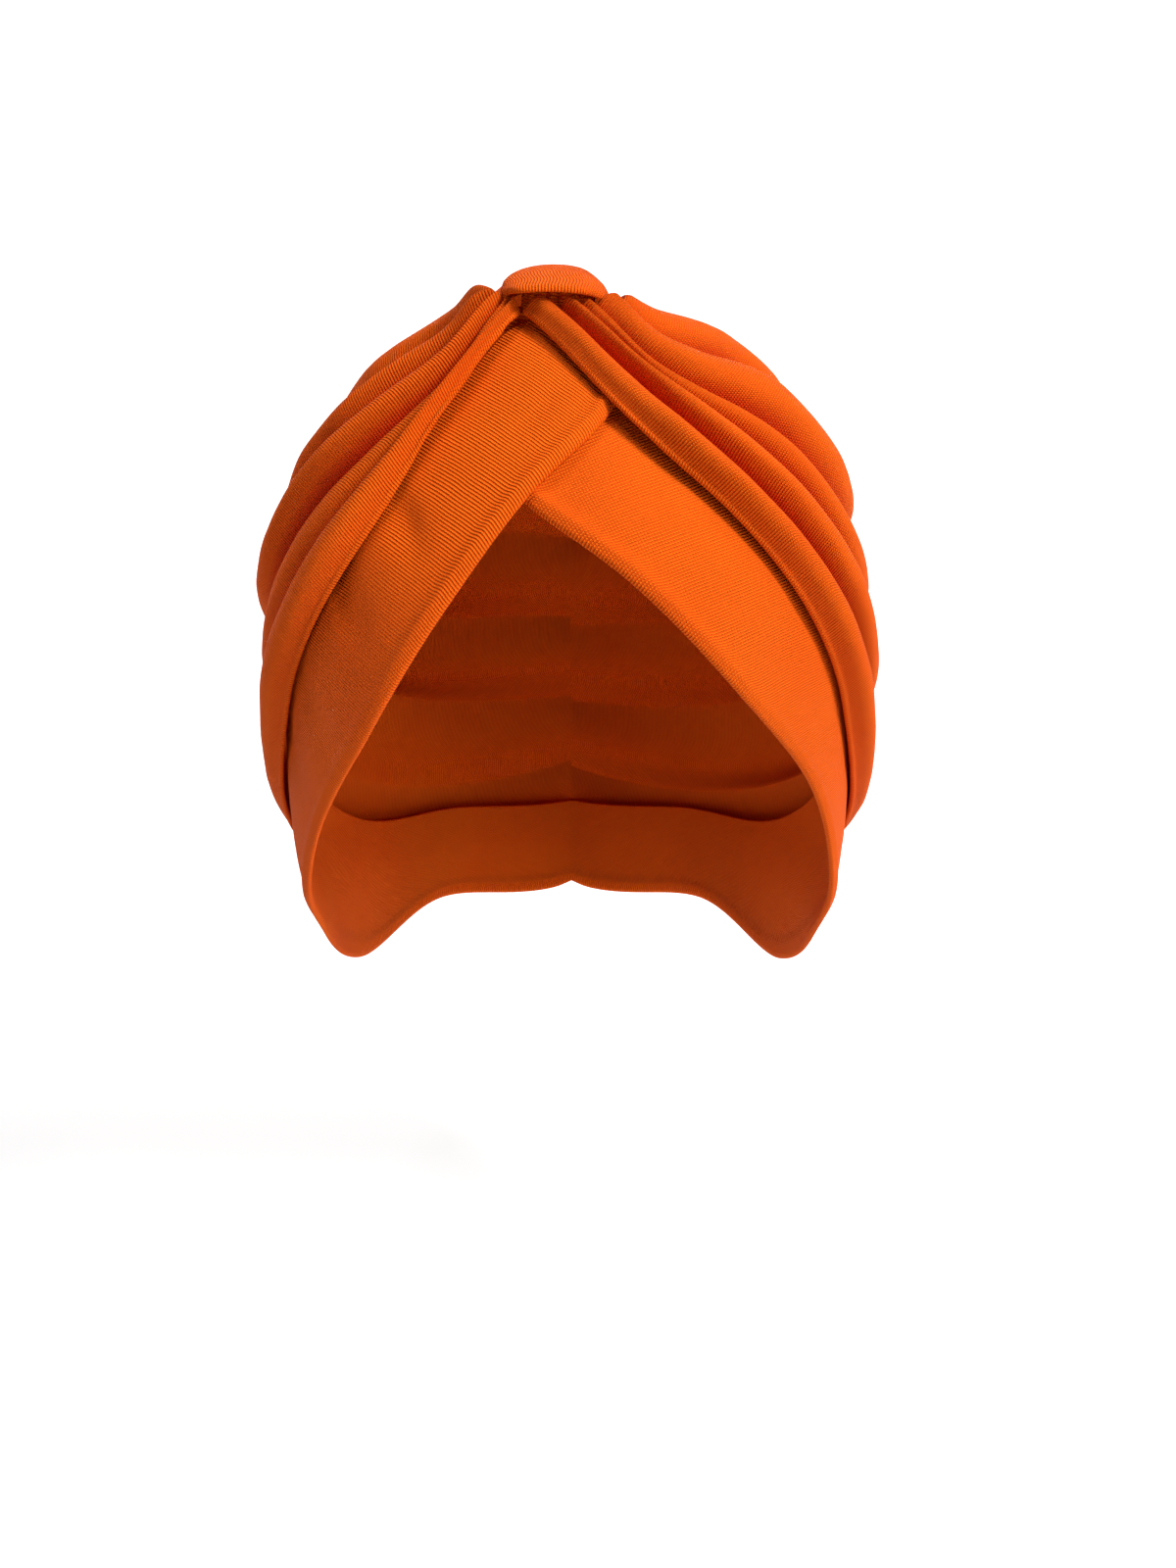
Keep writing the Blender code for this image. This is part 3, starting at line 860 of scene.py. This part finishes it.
def wrinkle_tree():
    """The tree, and the identifier of each of its inputs by name."""
    tree = bpy.data.node_groups.new("stretch wrinkles", "GeometryNodeTree")
    sizes = {
        "Cloth piece": socket(tree, "Cloth piece", "Geometry"),
        "Height": socket(tree, "Height", "Float", 0.0003),
        "Wrinkle length": socket(tree, "Wrinkle length", "Float", 0.030),
        "Wrinkle width": socket(tree, "Wrinkle width", "Float", 0.005),
        "Seed": socket(tree, "Seed", "Float", 1.0),
        "Gathers": socket(tree, "Gathers", "Float", 0.0),
        "Gather depth": socket(tree, "Gather depth", "Float", 0.0),
        "Finish": socket(tree, "Finish", "Material"),
    }
    socket(tree, "Cloth piece", "Geometry", output=True)
    piece, height, length, width, seed, gathers, depth, finish = put(tree, "NodeGroupInput")[:8]
    along = maths(tree, "DIVIDE", named(tree, "along"), length)
    across = maths(tree, "DIVIDE", named(tree, "across"), width)
    where = put(tree, "ShaderNodeCombineXYZ", along, across, seed)[0]
    noise = put(tree, "ShaderNodeTexNoise", where, 1.0, 2.0)[0]
    rise = maths(tree, "MULTIPLY_ADD", noise, 2.0, -1.0)
    rise = maths(tree, "MULTIPLY", rise, height)
    wave = maths(tree, "SINE", maths(tree, "MULTIPLY", named(tree, "turn"),
                                     maths(tree, "MULTIPLY", gathers, 0.5)))
    valley = maths(tree, "SUBTRACT", maths(tree, "ABSOLUTE", wave), 1.0)
    rise = maths(tree, "MULTIPLY_ADD", valley, depth, rise)
    rise = maths(tree, "MULTIPLY", rise, named(tree, "freedom"))
    normal = put(tree, "GeometryNodeInputNormal")[0]
    offset = put_named(tree, "ShaderNodeVectorMath", {"Vector": normal, "Scale": rise},
                       operation="SCALE")
    moved = put_named(tree, "GeometryNodeSetPosition",
                      {"Geometry": piece, "Offset": offset.outputs[0]})
    real = put(tree, "GeometryNodeRealizeInstances", moved.outputs[0])[0]
    painted = put_named(tree, "GeometryNodeSetMaterial", {"Geometry": real, "Material": finish})
    put(tree, "NodeGroupOutput", painted.outputs[0])
    return tree, sizes


wrinkles, wrinkle_inputs = wrinkle_tree()
print("inputs:", ", ".join(wrinkle_inputs))

# %% Wrinkle every piece
WRINKLE_COLUMNS = ("piece", "Height", "Wrinkle length", "Wrinkle width", "Seed", "Gathers",
                   "Gather depth", "Finish")
WRINKLES = (
    (crown_left, 0.00055, 0.034, 0.0060, 1.0, 0.0, 0.0, jersey),
    (crown_right, 0.00055, 0.034, 0.0060, 5.0, 0.0, 0.0, jersey),
    (band_left, 0.00025, 0.016, 0.0240, 9.0, 0.0, 0.0, band_jersey),
    (band_right, 0.00022, 0.016, 0.0240, 12.0, 0.0, 0.0, band_jersey),
    (strap, 0.00030, 0.010, 0.0050, 17.0, 0.0, 0.0, jersey),
    (bunch, 0.00010, 0.004, 0.0040, 21.0, 18.0, 0.0009, jersey),
)


def wrinkled(row):
    """The piece with its wrinkles made part of a plain mesh."""
    given = dict(zip(WRINKLE_COLUMNS, row))
    obj = given.pop("piece")
    modifier = obj.modifiers.new("wrinkles", "NODES")
    modifier.node_group = wrinkles
    for name, value in given.items():
        modifier[wrinkle_inputs[name]] = value
    graph = bpy.context.evaluated_depsgraph_get()
    mesh = bpy.data.meshes.new_from_object(obj.evaluated_get(graph))
    obj.modifiers.remove(modifier)
    mesh.name = obj.name
    old = obj.data
    obj.data = mesh
    bpy.data.meshes.remove(old)
    print(obj.name, len(mesh.polygons), "faces, finish", mesh.materials[0].name)


for row in WRINKLES:
    wrinkled(row)

# %% [markdown]
# ## Fitting the pieces to the frame
# Each piece stands for its CAD solid, rides on the one body and has its finish listed. The flat
# size of each sheet is what a cutter would lay out for it.

# %% Frame, finishes and sheets
PIECES = (
    (crown_left, "crown_left", "jersey", (0.15, 0.24), "gathered", [band_left]),
    (crown_right, "crown_right", "jersey", (0.15, 0.24), "gathered", [band_right]),
    (band_left, "band_left", "band_jersey", (0.045, 0.34), "stretched", [band_right]),
    (band_right, "band_right", "band_jersey", (0.045, 0.34), "stretched", []),
    (strap, "knot_loop", "jersey", (0.018, 0.042), "folded", [bunch]),
)
for piece, node_name, slot_name, flat_size, held, under in PIECES:
    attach(piece, "root")
    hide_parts(node_name)
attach(bunch, "root")
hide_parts("gathered_cloth")
print(len(PIECES) + 1, "pieces fitted")

# %% [markdown]
# ## Floor and light
# The cap is held up in the air, so the pale floor lies well below it and sweeps up behind.
# The key light is large and comes from the viewer's upper right, weaker ones stand over the
# top, at the front and at the left, and the pale room gives the rest. Soft, large lights
# keep the edges of shadows gentle, while the side the key doesn't reach stays darker. The
# room is white where the camera sees it and dim as a light, so that folds keep their depth.

# %% Studio floor
FLOOR_Z = -0.32
FLOOR_REACH = 2.6
SWEEP_START = 0.9
SWEEP_RADIUS = 0.7
SWEEP_STEPS = 20
GLOW_FROM, GLOW_TO = -0.1, 0.5
GLOW_LOW, GLOW_HIGH = 0.30, 0.95
FLOOR_GREY = (0.60, 0.60, 0.60, 1)
FLOOR_ROUGHNESS = 0.9
WHITE = (1, 1, 1, 1)


def studio_floor():
    """A flat floor that curves up into a wall behind."""
    profile = [(-FLOOR_REACH, FLOOR_Z), (SWEEP_START, FLOOR_Z)]
    for k in range(1, SWEEP_STEPS + 1):
        turn = math.pi / 2 * k / SWEEP_STEPS
        profile.append((SWEEP_START + SWEEP_RADIUS * math.sin(turn),
                        FLOOR_Z + SWEEP_RADIUS * (1 - math.cos(turn))))
    profile.append((profile[-1][0], FLOOR_Z + FLOOR_REACH))
    points = [(x, y, z) for y, z in profile for x in (-FLOOR_REACH, FLOOR_REACH)]
    faces = [(2 * k, 2 * k + 1, 2 * k + 3, 2 * k + 2) for k in range(len(profile) - 1)]
    mesh = bpy.data.meshes.new("studio_floor")
    mesh.from_pydata(points, [], faces)
    mesh.polygons.foreach_set("use_smooth", np.ones(len(faces), bool))
    floor = bpy.data.objects.new("studio_floor", mesh)
    bpy.context.scene.collection.objects.link(floor)
    return floor


pale = bpy.data.materials.new("pale floor")
pale.use_nodes = True
shader = pale.node_tree.nodes["Principled BSDF"]
shader.inputs["Base Color"].default_value = FLOOR_GREY
shader.inputs["Roughness"].default_value = FLOOR_ROUGHNESS
shader.inputs["Emission Color"].default_value = WHITE
tree = pale.node_tree
depth_back = put(tree, "ShaderNodeSeparateXYZ", put(tree, "ShaderNodeTexCoord")[3])[1]
glow = put(tree, "ShaderNodeMapRange", depth_back, GLOW_FROM, GLOW_TO, GLOW_LOW, GLOW_HIGH)[0]
tree.links.new(glow, shader.inputs["Emission Strength"])
floor = studio_floor()
floor.data.materials.append(pale)
print("floor at", FLOOR_Z)

# %% Lights
LIGHT_COLUMNS = ("name", "place", "size", "watts", "colour")
LIGHTS = (
    ("key", (0.82, -0.55, 0.85), 0.36, 22.0, (1.0, 0.985, 0.96)),
    ("front", (1.00, -0.80, 0.10), 0.60, 4.2, (1.0, 1.0, 1.0)),
    ("top", (-0.30, -0.10, 1.20), 0.50, 9.0, (1.0, 1.0, 1.0)),
    ("left fill", (-1.10, -0.80, 0.10), 0.80, 1.2, (1.0, 1.0, 1.0)),
)
ROOM_STRENGTH = 0.04
SEEN_STRENGTH = 0.9
AIM = np.array((0.0, 0.0, -0.08))


def area_light(name, place, size, watts, colour):
    """A round lamp at a place, turned towards the cap."""
    data = bpy.data.lights.new(name, "AREA")
    data.shape = "DISK"
    data.size = size
    data.energy = watts
    data.color = colour
    light = bpy.data.objects.new(name, data)
    light.location = place
    away = np.array(place) - AIM
    light.rotation_euler = (math.acos(away[2] / np.linalg.norm(away)), 0,
                            math.atan2(away[1], away[0]) + math.pi / 2)
    bpy.context.scene.collection.objects.link(light)


for row in LIGHTS:
    area_light(**dict(zip(LIGHT_COLUMNS, row)))
world = bpy.data.worlds.new("pale room")
world.use_nodes = True
wall = world.node_tree.nodes["Background"]
wall.inputs["Color"].default_value = WHITE
tree = world.node_tree
seen = put(tree, "ShaderNodeLightPath")[0]
seen = maths(tree, "MULTIPLY_ADD", seen, SEEN_STRENGTH - ROOM_STRENGTH, ROOM_STRENGTH)
tree.links.new(seen, wall.inputs["Strength"])
bpy.context.scene.world = world
bpy.context.scene.view_settings.view_transform = "Standard"
print(len(LIGHTS), "lights")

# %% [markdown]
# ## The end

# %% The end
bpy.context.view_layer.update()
